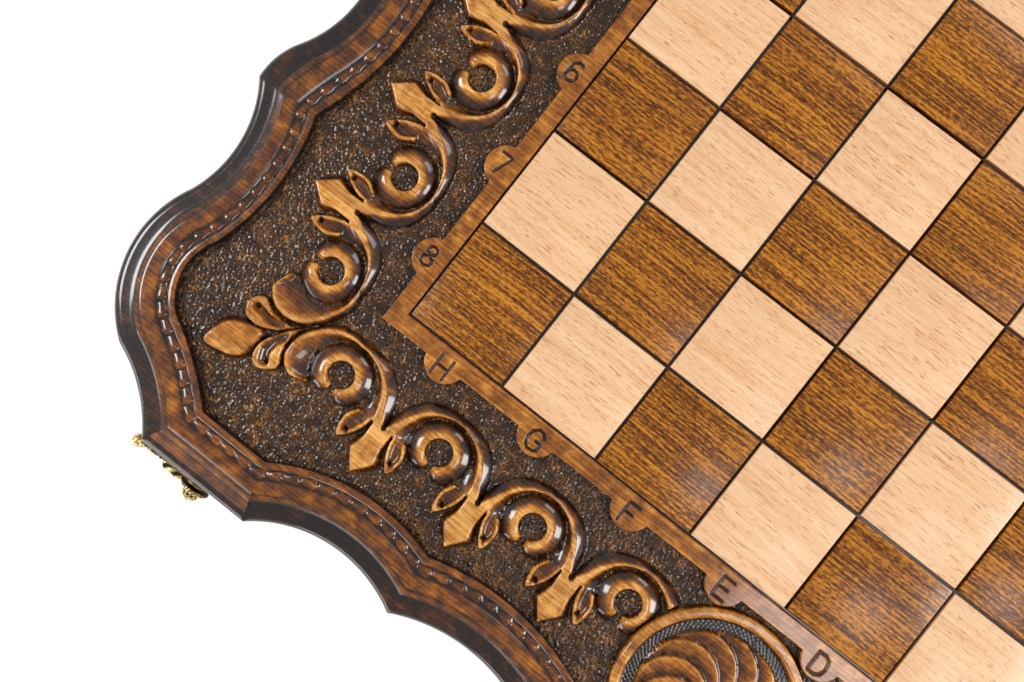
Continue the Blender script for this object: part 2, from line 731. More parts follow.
def path_curve(name, lines):
    """A curve object with a straight-sided spline for each line of points."""
    data = bpy.data.curves.new(name, "CURVE")
    data.dimensions = "3D"
    for line in lines:
        spline = data.splines.new("POLY")
        spline.points.add(len(line) - 1)
        for point, (x, y, z) in zip(spline.points, line):
            point.co = (x * MM, y * MM, z * MM, 1.0)
    curve = bpy.data.objects.new(name, data)
    bpy.context.scene.collection.objects.link(curve)
    return curve


CHAIN_TREE = chain_tree()
link = link_shape("chain_link")
for half, rear in HALVES:
    sideways = -1.0 if rear else 1.0
    quarter = (outer_line + (inner_line - outer_line) * CHAIN_AT / BAND_W)[4:-6]
    lines = [[(side * x, sideways * y, TOP_Z - CHAIN_D) for x, y in quarter] for side in (1, -1)]
    chain = grown(
        path_curve("chain_path", lines), CHAIN_TREE, half + "_chain",
        **{"Spacing": LINK_L * MM, "Scale shape": link, "Finish": CARVED},
    )
    chain.data.shade_smooth()
    finish_piece(chain, half + "_case", "carved_beech", half + "_carved_panel")
bpy.data.objects.remove(link)


# Carved relief
# Between the band and the squares the beech is carved in one piece with the slab: scrolls with rolled eyes,
# spears between them, a bud at each corner, medallions, and a ground punched down all round them.
GRID = 0.5
CARVE_TOP = RELIEF - 0.2
CUT_FLOOR = 0.25
EYE_OUT = 30.8
EYES = {"front": (41.4, 82.3, 122.8, 165.7), "side": (41.0, 80.8, 124.0, 165.0)}
DOTS = {"front": (20.7, 61.7, 102.0, 143.0, 186.4), "side": (20.4, 61.3, 101.3, 143.6, 185.6)}
EYE_R = 4.65
EYE_RIM_R = 6.2
REACH = 20.65
MEDAL_OUT = 42.0
MEDAL_R = 33.8
MEDAL_RING_R = 29.4
PETALS_R = 25.6
BUTTON_R = 3.4
LABEL_W = 6.8


def smooth_loop(points, steps=6):
    """A closed rounded outline through a few points."""
    p = np.array(points, float)
    t = (np.arange(steps) / steps)[:, None]
    loop = []
    for i in range(len(p)):
        a, b, c, d = p[i - 1], p[i], p[(i + 1) % len(p)], p[(i + 2) % len(p)]
        bend = (2 * a - 5 * b + 4 * c - d) * t ** 2
        loop.append(0.5 * (2 * b + (c - a) * t + bend + (3 * b - a - 3 * c + d) * t ** 3))
    return np.vstack(loop)


def line_distance(x, y, points):
    """Distance to a run of straight pieces."""
    best = np.full(x.shape, 1e9)
    for (ax, ay), (bx, by) in zip(points[:-1], points[1:]):
        dx, dy = bx - ax, by - ay
        t = np.clip(((x - ax) * dx + (y - ay) * dy) / max(dx * dx + dy * dy, 1e-9), 0, 1)
        best = np.minimum(best, np.hypot(x - ax - t * dx, y - ay - t * dy))
    return best


def depth_inside(x, y, loop):
    """Distance to a closed outline, positive inside it."""
    ring = np.vstack([loop, loop[:1]])
    inside = np.zeros(x.shape, bool)
    for (ax, ay), (bx, by) in zip(ring[:-1], ring[1:]):
        if ay != by:
            inside ^= ((ay > y) != (by > y)) & (x < (bx - ax) * (y - ay) / (by - ay) + ax)
    distance = line_distance(x, y, ring)
    return np.where(inside, distance, -distance)


def place_relief(maps, where, height, depth, tone, gap=0.45, cut_here=True):
    """Puts a carved form and its stain into the maps, and cuts a dark line round it into what is there."""
    h, stain = maps
    old, old_tone = h[where], stain[where]
    cutting = (depth > -gap) & cut_here
    cut = np.where(cutting, np.minimum(old, 0.2), old)
    h[where] = np.where(depth > 0, np.maximum(height, CUT_FLOOR), cut)
    stain[where] = np.where(depth > 0, tone, np.where(cutting, 0.0, old_tone))


def smooth_step(t):
    """A smooth rise from 0 to 1, level at both ends."""
    t = np.clip(t, 0, 1)
    return t * t * (3 - 2 * t)


# Radii about a scroll's eye by the angle from the field's side of it, in degrees
RING_TURN, RING_R = (0, 60, 90, 140, 165, 180), (10.9, 11.4, 11.5, 11.2, 9.8, 8.9)
ARM_TURN = (0, 25, 50, 70, 90, 104)
ARM_IN, ARM_RIDGE = (12.0, 12.2, 13.2, 14.1, 15.3, 16.8), (12.6, 13.0, 14.2, 15.4, 17.2, 20.6)
ARM_OUT = (14.8, 15.8, 17.9, 19.3, 20.4, 21.3)
TAIL_TURN = (0, 27, 48, 67, 80, 96, 107, 118, 128, 135, 140)
TAIL_RIB = {
    "front": (12.3, 13.8, 15.2, 16.7, 18.1, 19.4, 19.9, 19.0, 16.9, 12.9, 11.6),
    "side": (12.3, 13.8, 14.9, 17.3, 19.5, 21.1, 21.5, 21.0, 19.8, 15.5, 12.4),
}
TAIL_FLANK = (2.0, 2.0, 2.0, 1.8, 1.7, 1.4, 1.2, 1.1, 1.0, 0.8, 0.5)
SPEAR_ALONG = (34.0, 36.5, 42.0, 45.0, 47.8, 54.0)
SPEAR_FLAT = (5.2, 4.0, 3.6, 4.1, 4.9, 0.2)
SPEAR_FLANK_ALONG = (34.0, 36.5, 42.0, 45.5, 48.0, 50.2, 55.0)
SPEAR_FLANK = (5.3, 4.2, 4.4, 6.2, 7.0, 5.6, 0.4)
LOBE = (
    (16.3, 33.0), (16.25, 37.0), (15.6, 40.0), (14.4, 43.0), (12.6, 45.8), (10.4, 48.0), (9.0, 46.4),
    (8.3, 43.2), (8.3, 40.2), (9.3, 37.8), (10.6, 35.3), (11.0, 32.0),
)


def arms(maps, where, a, v, kind):
    """The crescent round a ring: a smooth dark flank, a flat rib, and a cove down to the ring."""
    r = np.hypot(a, v - EYE_OUT)
    turn = np.degrees(np.arctan2(a, EYE_OUT - v))
    ring_r = np.interp(turn, RING_TURN, RING_R) + 0.7
    if kind == "arm":
        rib_in, rib_out, outer = (np.interp(turn, ARM_TURN, line) for line in (ARM_IN, ARM_RIDGE, ARM_OUT))
        ends = np.minimum(36.6 - v, REACH - a)
    else:
        rib = np.interp(turn, TAIL_TURN, TAIL_RIB[kind])
        width = np.interp(turn, (0, 90, 140), (0.35, 0.7, 0.6))
        rib_in, rib_out = rib - width, rib + width
        outer = rib_out + np.interp(turn, TAIL_TURN, TAIL_FLANK)
        ends = (139 - turn) * 0.2
    fall = np.clip((outer - r) / np.maximum(outer - rib_out, 0.3), 0, 1)
    climb = np.clip((r - ring_r) / np.maximum(rib_in - ring_r, 0.3), 0, 1)
    cove = 0.7 + (CARVE_TOP - 0.7) * climb ** 1.7
    height = np.where(r > rib_out, CARVE_TOP * fall ** 0.65, np.where(r > rib_in, CARVE_TOP, cove))
    inner_tone = np.where(r > rib_in, 0.92, 0.16 + 0.62 * climb ** 1.6)
    tone = np.where(r > rib_out, 0.13 + 0.42 * fall ** 2.5, inner_tone)
    depth = np.minimum(np.minimum(outer - r, r - ring_r), ends)
    place_relief(maps, where, height, depth, tone, 0.35, v < 35.0)


def ring(maps, where, a, v):
    """The rolled eye of a scroll: high round its hole, sloping to a dark edge, with a slot outwards."""
    r = np.hypot(a, v - EYE_OUT)
    turn = np.degrees(np.arctan2(a, EYE_OUT - v))
    outer = np.interp(turn, RING_TURN, RING_R)
    t = np.clip((r - EYE_RIM_R) / (outer - EYE_RIM_R), 0, 1)
    tone = 0.88 - 0.72 * smooth_step(t / 0.7)
    height = 0.5 + (CARVE_TOP - 0.5) * (1 - t ** 1.6)
    height = height * np.clip((r - EYE_R) / 0.35, 0.2, 1)
    slot = np.where(v > EYE_OUT, a - np.interp(v, (34.5, 36, 41), (1.6, 0.9, 1.7)), 9.0)
    height = height * np.clip(slot / 2.6, 0.05, 1) ** 0.5
    depth = np.minimum(np.minimum(outer - r, r - EYE_R), slot)
    place_relief(maps, where, height, depth, tone, 0.3)


def lobe(maps, where, a, v):
    """A leaf lobe that opens from the cove: a raised rim, a hollow and a small drilled hole."""
    depth = depth_inside(a, v, smooth_loop(LOBE))
    rim = CARVE_TOP * np.clip(depth / 0.4, 0, 1) ** 0.6
    dip = smooth_step((depth - 0.9) / 1.3)
    height = rim - 1.6 * dip
    tone = 0.86 - 0.50 * dip
    hole = np.hypot(a - 11.6, v - 44.3) < 0.8
    height, tone = np.where(hole, CUT_FLOOR, height), np.where(hole, 0.0, tone)
    depth = np.minimum(depth, np.where(v > 35.8, 9.0, -9.0))
    place_relief(maps, where, height, depth, tone, 0.5, v > 36.4)


def spear(maps, where, b, v):
    """A spear between two scrolls, flat on top with flanks that fall away."""
    flat = np.interp(v, SPEAR_ALONG, SPEAR_FLAT)
    flank = np.interp(v, SPEAR_FLANK_ALONG, SPEAR_FLANK)
    fall = np.clip((flank - b) / np.maximum(flank - flat, 0.3), 0, 1)
    height = CARVE_TOP * fall ** 0.8
    tone = np.where(b < flat, 0.95, 0.15 + 0.5 * fall ** 2.5)
    depth = np.minimum(np.minimum(flank - b, v - 35.9), 54.9 - v)
    place_relief(maps, where, height, depth, tone, 0.35, v > 36.6)


def side_scrolls(maps, u, v, mine, kind):
    """The row of scrolls on one side: u runs along it from its middle, v away from the field."""
    eyes, dots = EYES[kind], DOTS[kind]
    for sign in (-1, 1):
        for k in (3, 2, 1, 0):
            along_side = sign * u - eyes[k]
            near = mine & (np.abs(along_side) < 24) & (v > 10) & (v < 58)
            du, dv = along_side[near], v[near]
            for out, limit, tail in ((du >= 0, dots[k + 1], k == 3), (du < 0, dots[k], False)):
                part = np.zeros(mine.shape, bool)
                part[near] = out
                stretch = 1.0 if tail else REACH / abs(limit - eyes[k])
                a = np.abs(du[out]) * stretch
                arms(maps, part, a, dv[out], kind if tail else "arm")
                if not tail:
                    lobe(maps, part, a, dv[out])
            ring(maps, near, np.abs(du), dv)
        for dot in dots[1:4]:
            b = np.abs(sign * u - dot)
            near = mine & (b < 8) & (v > 27) & (v < 58)
            spear(maps, near, b[near], v[near])
            crotch = near & ((np.hypot(b, v - 35.7) < 0.95) | ((b < 0.3) & (v < 35.5) & (v > 28.6)))
            maps[0][crotch] = CUT_FLOOR
            maps[1][crotch] = 0.0


# Outlines about the left front corner, in x and y
NEAR_LEAF = (
    (-184.0, -184.5), (-190.0, -190.5), (-192.0, -193.5), (-194.5, -198.0), (-195.0, -202.0),
    (-194.0, -205.0), (-191.5, -206.8), (-188.5, -206.3), (-184.5, -202.5), (-186.5, -197.5),
    (-187.2, -193.0), (-186.5, -188.0),
)
NEAR_HOLLOW = ((-189.5, -192.5), (-191.0, -196.0), (-191.5, -200.0), (-190.0, -203.5))
FAR_LEAF = (
    (-184.5, -185.0), (-188.0, -187.6), (-194.0, -188.6), (-199.0, -187.8), (-202.5, -185.8),
    (-205.5, -187.0), (-207.0, -190.0), (-206.5, -192.5), (-204.5, -195.0), (-200.0, -195.6),
    (-196.0, -194.4), (-192.0, -192.0),
)
FAR_HOLLOW = ((-193.0, -190.2), (-197.0, -191.2), (-203.3, -190.0))
BUD_FLAT = (
    (-196.5, -196.5), (-202.0, -197.5), (-207.0, -199.8), (-210.0, -204.5), (-210.8, -210.3),
    (-205.0, -210.0), (-200.0, -208.5), (-197.3, -205.5),
)
BUD_FLANK = (
    (-195.0, -195.0), (-204.0, -195.7), (-209.0, -198.5), (-211.9, -203.0), (-212.5, -208.0),
    (-211.8, -211.4), (-209.0, -211.9), (-203.0, -211.0), (-198.5, -209.0), (-195.3, -205.5),
    (-194.0, -200.0),
)


def leaf(maps, where, x, y, loop, hollow, hole, dish, width):
    """A leaf with a raised rim, hollowed along a line that ends in a small drilled hole."""
    depth = depth_inside(x, y, smooth_loop(loop))
    dip = np.clip(1 - (line_distance(x, y, hollow) / width) ** 2, 0, 1)
    height = CARVE_TOP * np.clip(depth / 0.4, 0, 1) ** 0.6 - dish * dip
    tone = 0.86 - 0.56 * dip
    drilled = np.hypot(x - hole[0], y - hole[1]) < 0.85
    height, tone = np.where(drilled, CUT_FLOOR, height), np.where(drilled, 0.0, tone)
    place_relief(maps, where, height, depth, tone, 0.5)


def corner_bud(maps, x, y):
    """A bud on the diagonal, and two leaves over its base."""
    for sign in (-1, 1):
        out = sign * x
        near = (out > 180) & (y < -180) & (out < 216) & (y > -216)
        p, q = -out[near], y[near]
        flank = depth_inside(p, q, smooth_loop(BUD_FLANK))
        flat = depth_inside(p, q, smooth_loop(BUD_FLAT))
        slope = np.clip(flank / np.maximum(flank - flat, 0.2), 0, 1)
        tone = np.where(flat > 0, 0.80, 0.15 + 0.45 * slope ** 2)
        place_relief(maps, near, np.where(flat > 0, CARVE_TOP, CARVE_TOP * slope ** 0.8), flank, tone)
        leaf(maps, near, p, q, FAR_LEAF, FAR_HOLLOW, (-203.3, -189.6), 1.8, 2.0)
        leaf(maps, near, p, q, NEAR_LEAF, NEAR_HOLLOW, (-188.9, -203.2), 1.9, 2.2)


def medallion(maps, x, y, cx, cy, petals=12):
    """A ring, a punched ground and a whirl of overlapping petals."""
    r = np.hypot(x - cx, y - cy)
    near = r < MEDAL_R + 0.9
    rr, turn = r[near], np.arctan2(y - cy, x - cx)[near]
    rim = CARVE_TOP * np.clip(np.minimum((MEDAL_R - rr) / 0.5, (rr - MEDAL_RING_R) / 0.9), 0, 1) ** 0.7
    beads = 0.55 + 0.45 * np.sin(rr * 2 * math.pi / 1.7) * np.sin(turn * 102)
    # each petal is an arc through the centre, high along its edge, and slides down under the next one
    swirl = turn - np.arcsin(np.clip(rr / 26.0, 0, 1)) - math.radians(18.5)
    share = np.mod(swirl * petals / (2 * math.pi), 1.0)
    width = np.maximum(rr, 1.0) * 2 * math.pi / petals
    whirl = (1.0 + 2.1 * (1 - share) ** 0.9) * (0.4 + 0.6 * np.clip(share * width / 0.55, 0, 1) ** 0.6)
    whirl = whirl * np.clip((PETALS_R - rr) / 0.6, 0.2, 1)
    button = 2.6 * np.sqrt(np.clip(1 - (rr / BUTTON_R) ** 2, 0, 1)) + 0.6
    flower = np.where(rr > PETALS_R, beads, np.where(rr > BUTTON_R, whirl, button))
    height = np.where(rr > MEDAL_RING_R, rim, flower)
    petal_tone = 0.22 + 0.58 * (1 - share) ** 0.8 * np.clip(share * width / 0.7, 0.1, 1)
    beads_tone = 0.03 + 0.25 * np.clip(beads - 0.5, 0, 1)
    tone = np.where(rr > MEDAL_RING_R, 0.74, np.where(rr > PETALS_R, beads_tone, petal_tone))
    inside = rr < MEDAL_R
    maps[0][near] = np.where(inside, np.maximum(height, 0.15), np.minimum(maps[0][near], CUT_FLOOR))
    maps[1][near] = np.where(inside, tone, 0.0)


def punch_marks(x, y, pitch=1.45):
    """The ground's texture: crowded punch marks, a little uneven, with thin crests between them."""
    rng = np.random.default_rng(11)
    jitter = rng.random((64, 64, 3))
    column, row = np.floor(x / pitch).astype(int), np.floor(y / pitch).astype(int)
    nearest, second = np.full(x.shape, 9.0), np.full(x.shape, 9.0)
    for i in (-1, 0, 1):
        for j in (-1, 0, 1):
            seed = jitter[(column + i) % 64, (row + j) % 64]
            d = np.hypot(x - (column + i + seed[..., 0]) * pitch, y - (row + j + seed[..., 1]) * pitch)
            second = np.where(d < nearest, nearest, np.minimum(second, d))
            nearest = np.minimum(nearest, d)
    crest = np.clip(1 - (second - nearest) / 0.75, 0, 1)
    return 0.85 * crest - 0.35 + 0.3 * (jitter[column % 64, row % 64][..., 2] - 0.5)


def soft(values, times):
    """A blur over neighbours in the height map."""
    for _ in range(times):
        padded = np.pad(values, 1, mode="edge")
        around = padded[:-2, 1:-1] + padded[2:, 1:-1] + padded[1:-1, :-2] + padded[1:-1, 2:]
        values = (around + 4 * values) / 8
    return values


def rows_inside(xs, ys, loop):
    """Which points of the grid lie inside a closed outline, row by row."""
    ring_points = np.vstack([loop, loop[:1]])
    ax, ay = ring_points[:-1].T
    bx, by = ring_points[1:].T
    inside = np.zeros((len(ys), len(xs)), bool)
    for i, y in enumerate(ys):
        crosses = (ay > y) != (by > y)
        at = ax[crosses] + (y - ay[crosses]) * (bx[crosses] - ax[crosses]) / (by[crosses] - ay[crosses])
        inside[i] = (xs[:, None] > at[None, :]).sum(axis=1) % 2 == 1
    return inside


def carving():
    """Heights above the ground and tones on a grid over the front half."""
    fine, reach = GRID / 2, 956
    xs = np.arange(-reach, reach + 1) * fine
    ys = -HALF_SEAM - np.arange(reach + 1) * fine
    x, y = np.meshgrid(xs, ys)
    maps = (np.full(x.shape, -1.0), np.zeros(x.shape))
    on_front = np.abs(x) < -y
    corner_bud(maps, x, y)
    side_scrolls(maps, x, -y - FIELD, on_front, "front")
    for side in (-1, 1):
        side_scrolls(maps, y, side * x - FIELD, ~on_front & (side * x > 0), "side")
    medallion(maps, x, y, 0.0, -(FIELD + MEDAL_OUT))
    for side in (-1, 1):
        medallion(maps, x, y, side * (FIELD + MEDAL_OUT), 0.0)
    h, stain = maps
    carved = h > 0.12
    relief = np.where(carved, h, 0.0)
    wear = relief - soft(relief, 14)
    tone = stain + 0.22 * wear
    h = np.where(carved, np.maximum(h, 0.1), punch_marks(x, y))
    tone = np.where(carved, np.clip(tone, 0.0, 1.0), -1.0)
    # the fine grid is blurred once and every other line of it is kept
    h, share = soft(h, 1)[::2, ::2], soft(np.where(carved, 1.0, 0.0), 1)[::2, ::2]
    tone = np.where(share > 0.5, soft(np.maximum(tone, 0.0), 1)[::2, ::2], -1.0)
    inside = rows_inside(xs[::2], ys[::2], edge_line(BAND_W - 0.7))
    x, y = x[::2, ::2], y[::2, ::2]
    under_label = (np.abs(x) < FIELD + LABEL_W - 0.5) & (y > -(FIELD + LABEL_W - 0.5))
    return x, y, h, tone, inside & ~under_label


def carved_piece(name, x, y, z, tone, cells, rear):
    """A closed block whose top is the height map over the given cells of the grid."""
    rows, columns = x.shape
    i, j = np.nonzero(cells)
    a = i * columns + j
    quads = np.stack([a, a + columns, a + columns + 1, a + 1], axis=1)
    keep, compact = np.unique(quads, return_inverse=True)
    compact = compact.reshape(quads.shape)
    points = np.stack([x.ravel()[keep], y.ravel()[keep], z.ravel()[keep]], axis=1)
    piece = new_piece(name, points, compact.tolist(), CARVED, tone.ravel()[keep], rear)
    work = bmesh.new()
    work.from_mesh(piece.data)
    rim = [e for e in work.edges if e.is_boundary]
    made = bmesh.ops.extrude_edge_only(work, edges=rim)["geom"]
    for vert in (v for v in made if isinstance(v, bmesh.types.BMVert)):
        vert.co.z = (CORE_Z - 0.5) * MM
    bottom = [e for e in work.edges if e.is_boundary]
    bmesh.ops.triangle_fill(work, use_beauty=False, use_dissolve=False, edges=bottom)
    bmesh.ops.recalc_face_normals(work, faces=work.faces)
    work.to_mesh(piece.data)
    work.free()
    piece.data.set_sharp_from_angle(angle=math.radians(70))
    return piece


def whole_cells(used):
    """The grid's cells that have all four of their corners in use."""
    return used[:-1, :-1] & used[1:, :-1] & used[:-1, 1:] & used[1:, 1:]


x, y, h, tone, used = carving()
whole = whole_cells(used)
middle_x = (x[:-1, :-1] + x[1:, 1:]) / 2
for half, rear in HALVES:
    for part, here in (
        ("left", middle_x < -FIELD), ("middle_left", (middle_x >= -FIELD) & (middle_x < 0)),
        ("middle_right", (middle_x >= 0) & (middle_x < FIELD)), ("right", middle_x >= FIELD),
    ):
        piece = carved_piece(half + "_carving_" + part, x, y, GROUND_Z + h, tone, whole & here, rear)
        finish_piece(piece, half + "_case", "carved_beech", half + "_carved_panel")


# Label strip
# A flat strip round the field, cut from the same slab, with a half-round tab at every square. The
# tabs are engraved and filled dark: A to H from right to left, and 1 to 8 towards the front.
TAB_R = 7.6
TAB_OUT = 5.2
LETTER_OUT = 7.0
LETTER_CUT = 0.7
LETTER_W = 0.95
LETTER_SIZE = 0.92
GLYPHS = {
    "A": [[(-3, -4), (0, 4), (3, -4)], [(-1.9, -1.2), (1.9, -1.2)]],
    "B": [
        [(-2.4, -4), (-2.4, 4), (0.6, 4), (2.2, 3.2), (2.2, 1.2), (0.8, 0.3), (-2.4, 0.3)],
        [(0.8, 0.3), (2.7, -0.7), (2.7, -3), (1, -4), (-2.4, -4)],
    ],
    "C": [
        [(2.8, 2.4), (1.4, 3.8), (-0.6, 4), (-2.4, 2.6), (-3, 0), (-2.4, -2.6), (-0.6, -4), (1.4, -3.8),
         (2.8, -2.4)],
    ],
    "D": [[(-2.6, -4), (-2.6, 4), (0.2, 4), (2.2, 2.8), (2.9, 0), (2.2, -2.8), (0.2, -4), (-2.6, -4)]],
    "E": [[(2.4, 4), (-2.4, 4), (-2.4, -4), (2.5, -4)], [(-2.4, 0.2), (1.7, 0.2)]],
    "F": [[(2.4, 4), (-2.2, 4), (-2.2, -4)], [(-2.2, 0.2), (1.7, 0.2)]],
    "G": [
        [(2.7, 2.4), (1.3, 3.8), (-0.7, 4), (-2.4, 2.6), (-3, 0), (-2.4, -2.6), (-0.7, -4), (1.5, -3.8),
         (2.8, -2.8), (2.8, -0.3), (0.4, -0.3)],
    ],
    "H": [[(-2.6, 4), (-2.6, -4)], [(2.6, 4), (2.6, -4)], [(-2.6, 0), (2.6, 0)]],
    "1": [[(-1.6, 2.4), (0.3, 4), (0.3, -4)]],
    "2": [[(-2.3, 2.4), (-1.2, 3.8), (0.8, 4), (2.2, 2.8), (2, 1), (-2.4, -4), (2.5, -4)]],
    "3": [
        [(-2.2, 3), (-0.8, 4), (1.2, 3.8), (2.1, 2.2), (1.3, 0.7), (-0.4, 0.3)],
        [(1.3, 0.2), (2.4, -1.4), (2, -3.2), (0.2, -4), (-1.6, -3.7), (-2.5, -2.6)],
    ],
    "4": [[(1.2, -4), (1.2, 4), (-2.7, -1.4), (2.7, -1.4)]],
    "5": [
        [(2.1, 4), (-1.7, 4), (-2, 0.5), (0.4, 0.9), (2.2, -0.5), (2.1, -2.8), (0.4, -4), (-1.4, -3.8),
         (-2.4, -2.8)],
    ],
    "6": [
        [(1.9, 3.4), (0.2, 4), (-1.7, 2.6), (-2.4, -0.2), (-2.1, -2.8), (-0.4, -4), (1.4, -3.7), (2.4, -1.9),
         (1.7, -0.1), (-0.1, 0.5), (-2.2, -0.9)],
    ],
    "7": [[(-2.4, 4), (2.4, 4), (-0.6, -4)]],
    "8": [
        [(0, 0.3), (-1.8, 1.5), (-1.6, 3.3), (0, 4), (1.6, 3.3), (1.8, 1.5), (0, 0.3), (-2.2, -1.3),
         (-2.1, -3.1), (0, -4), (2.1, -3.1), (2.2, -1.3), (0, 0.3)],
    ],
}


def label_map(rear):
    """Heights over the slab's top, tones and the used points of a grid over one half's label strip."""
    step = GRID / 2
    xs = np.arange(-696, 697) * step
    ys = -HALF_SEAM - np.arange(694) * step
    x, y = np.meshgrid(xs, ys)
    reach = np.maximum(np.abs(x), -y) - FIELD
    on_side = np.abs(x) > -y
    u = np.where(on_side, y, x)
    tab_at = (np.floor(u / SQUARE) + 0.5) * SQUARE
    tab = TAB_R - np.hypot(u - tab_at, reach - TAB_OUT)
    strip = np.minimum(reach, LABEL_W - reach)
    depth = np.where(reach > LABEL_W / 2, np.maximum(np.minimum(strip, 9), tab), np.minimum(reach, 9))
    drop = 0.3 * np.clip(1 - depth / 0.5, 0, 1) ** 2
    letters = np.full(x.shape, 9.0)
    for k in range(8):
        middle = (k - 3.5) * SQUARE
        # the far row of letters is turned half round to face the other player
        sides = [("HGFEDCBA"[k], (middle, -(FIELD + LETTER_OUT)), math.pi if rear else 0.0)]
        if k < 4:
            number = str(k + 1) if rear else str(8 - k)
            sides += [(number, (side * (FIELD + LETTER_OUT), middle), 0.0) for side in (-1, 1)]
        for glyph, (cx, cy), turn in sides:
            near = (np.abs(x - cx) < 6) & (np.abs(y - cy) < 6)
            dx, dy = x[near] - cx, (y[near] - cy) * (-1 if rear else 1)
            if cx > FIELD:
                turn = math.pi
            p = (dx * math.cos(turn) + dy * math.sin(turn)) / LETTER_SIZE
            q = (-dx * math.sin(turn) + dy * math.cos(turn)) / LETTER_SIZE
            for stroke in GLYPHS[glyph]:
                letters[near] = np.minimum(letters[near], line_distance(p, q, stroke))
    cut = smooth_step((LETTER_W * 0.5 + 0.25 - letters) / 0.5)
    z = TOP_Z - 0.03 - drop - LETTER_CUT * cut
    tone = 0.67 - 0.52 * np.clip(1 - depth / 0.45, 0, 1) - 0.64 * cut
    return x, y, z, np.clip(tone, 0.01, 1.0), depth > 0


for half, rear in HALVES:
    x, y, z, tone, used = label_map(rear)
    piece = carved_piece(half + "_label_strip", x, y, z, tone, whole_cells(used), rear)
    finish_piece(piece, half + "_case", "carved_beech", half + "_carved_panel")


# Squares of the field
# Bevelled squares with a narrow dark groove between them, dark ones stained and light ones plain beech.
# Each square's grain is shifted so that no two are alike, and all of it runs along X.
TILE_T = 3.0
BEVEL = 0.35


def square_wood(name, stops, flecks, darker, lines, speckle):
    """The squares' wood: grain and mottle under a thin lacquer, darker along the edges."""
    f = Finish(name, coat=0.2, roughness=0.42)
    f.shader.inputs["Coat Roughness"].default_value = 0.22
    f.shader.inputs["Specular IOR Level"].default_value = 0.3
    shift = f.attribute("grain_shift").outputs["Vector"]
    placed = f.nodes.new("ShaderNodeVectorMath")
    f.put(placed.inputs[0], f.coordinates())
    f.put(placed.inputs[1], shift)
    grain = f.grain(placed.outputs[0], streak_size=380.0, wave=0.006, fleck_size=2600.0)
    edge = f.attribute("tone").outputs["Fac"]
    drawn_out = f.nodes.new("ShaderNodeVectorMath")
    drawn_out.operation = "MULTIPLY"
    f.put(drawn_out.inputs[0], placed.outputs[0])
    drawn_out.inputs[1].default_value = (0.30, 1.0, 1.0)
    mottle = f.noise(drawn_out.outputs[0], 1500.0, 3.0, 0.7)
    mixed = f.math("ADD", grain["Streaks"], f.remap(grain["Lines"], 0.45, 1.0, -0.3 * lines, 0.7 * lines))
    mixed = f.math("ADD", mixed, f.remap(mottle, 0.3, 0.7, -0.5 * speckle, 0.5 * speckle))
    colour = f.ramp(mixed, *stops)
    colour = f.mix(f.remap(grain["Cloud"], 0.35, 0.65, 0.0, 0.45), colour, darker, "MULTIPLY")
    colour = f.mix(f.math("MULTIPLY", grain["Flecks"], 0.75), colour, flecks, "MULTIPLY")
    colour = f.mix(f.remap(edge, 0.0, 1.0, 0.85, 0.0), colour, (0.28, 0.16, 0.09), "MULTIPLY")
    normal = f.bump(grain["Fibre"], 0.00004)
    rough = f.remap(grain["Streaks"], 0.3, 0.7, 0.26, 0.36)
    return f.done(colour, normal, rough)


DARK_SQUARE = square_wood(
    "dark_beech",
    ((0.27, (0.066, 0.017, 0.000)), (0.46, (0.220, 0.064, 0.000)), (0.71, (0.580, 0.220, 0.015))),
    (0.55, 0.45, 0.40), (0.70, 0.61, 0.54), 0.20, 0.56,
)
LIGHT_SQUARE = square_wood(
    "light_beech",
    ((0.25, (0.720, 0.400, 0.190)), (0.50, (0.830, 0.510, 0.285)), (0.75, (0.900, 0.610, 0.370))),
    (0.57, 0.41, 0.28), (0.90, 0.84, 0.76), 0.09, 0.14,
)


def squares(name, tone_parity, material, rear):
    """The squares of one colour in one half, as bevelled blocks."""
    points, tones, faces, shifts = [], [], [], []
    rng = np.random.default_rng(5 + tone_parity + 2 * rear)
    for i in range(-4, 4):
        for j in range(-4, 0):
            if (i + j + 8) % 2 != tone_parity:
                continue
            far = HALF_SEAM if j == -1 else GROOVE / 2
            x0, x1 = i * SQUARE + GROOVE / 2, (i + 1) * SQUARE - GROOVE / 2
            y0, y1 = j * SQUARE + GROOVE / 2, (j + 1) * SQUARE - far
            shift = rng.uniform(-1, 1, 3) * (0.9, 0.35, 0.3)
            base = len(points)
            levels = ((0.0, -TILE_T, 0.0), (0.0, -BEVEL, 0.2), (0.12, -0.10, 0.6), (BEVEL, 0.0, 1.0))
            for inset, drop, tone in levels:
                points += [
                    (x0 + inset, y0 + inset, TOP_Z + drop), (x1 - inset, y0 + inset, TOP_Z + drop),
                    (x1 - inset, y1 - inset, TOP_Z + drop), (x0 + inset, y1 - inset, TOP_Z + drop),
                ]
                tones += [tone] * 4
            shifts += [tuple(shift)] * 16
            faces += skin(len(levels), 4, base)
            faces += [(base + 3, base + 2, base + 1, base), tuple(base + 12 + k for k in range(4))]
    piece = new_piece(name, points, faces, material, tones, rear)
    layer = piece.data.attributes.new("grain_shift", "FLOAT_VECTOR", "POINT")
    layer.data.foreach_set("vector", np.array(shifts, np.float32).ravel())
    return closed(piece, 35)


def groove_bed(half, rear):
    """The slab under the squares, seen as the dark line between them."""
    corners = ((-FIELD, -FIELD), (FIELD, -FIELD), (FIELD, -HALF_SEAM), (-FIELD, -HALF_SEAM))
    points = [(x, y, z) for z in (CORE_Z - 0.5, TOP_Z - TILE_T) for x, y in corners]
    faces = [(3, 2, 1, 0), (4, 5, 6, 7)] + skin(2, 4)
    piece = closed(new_piece(half + "_groove_bed", points, faces, CARVED, [0.05] * 8, rear), 30)
    finish_piece(piece, half + "_case", "carved_beech", half + "_carved_panel")


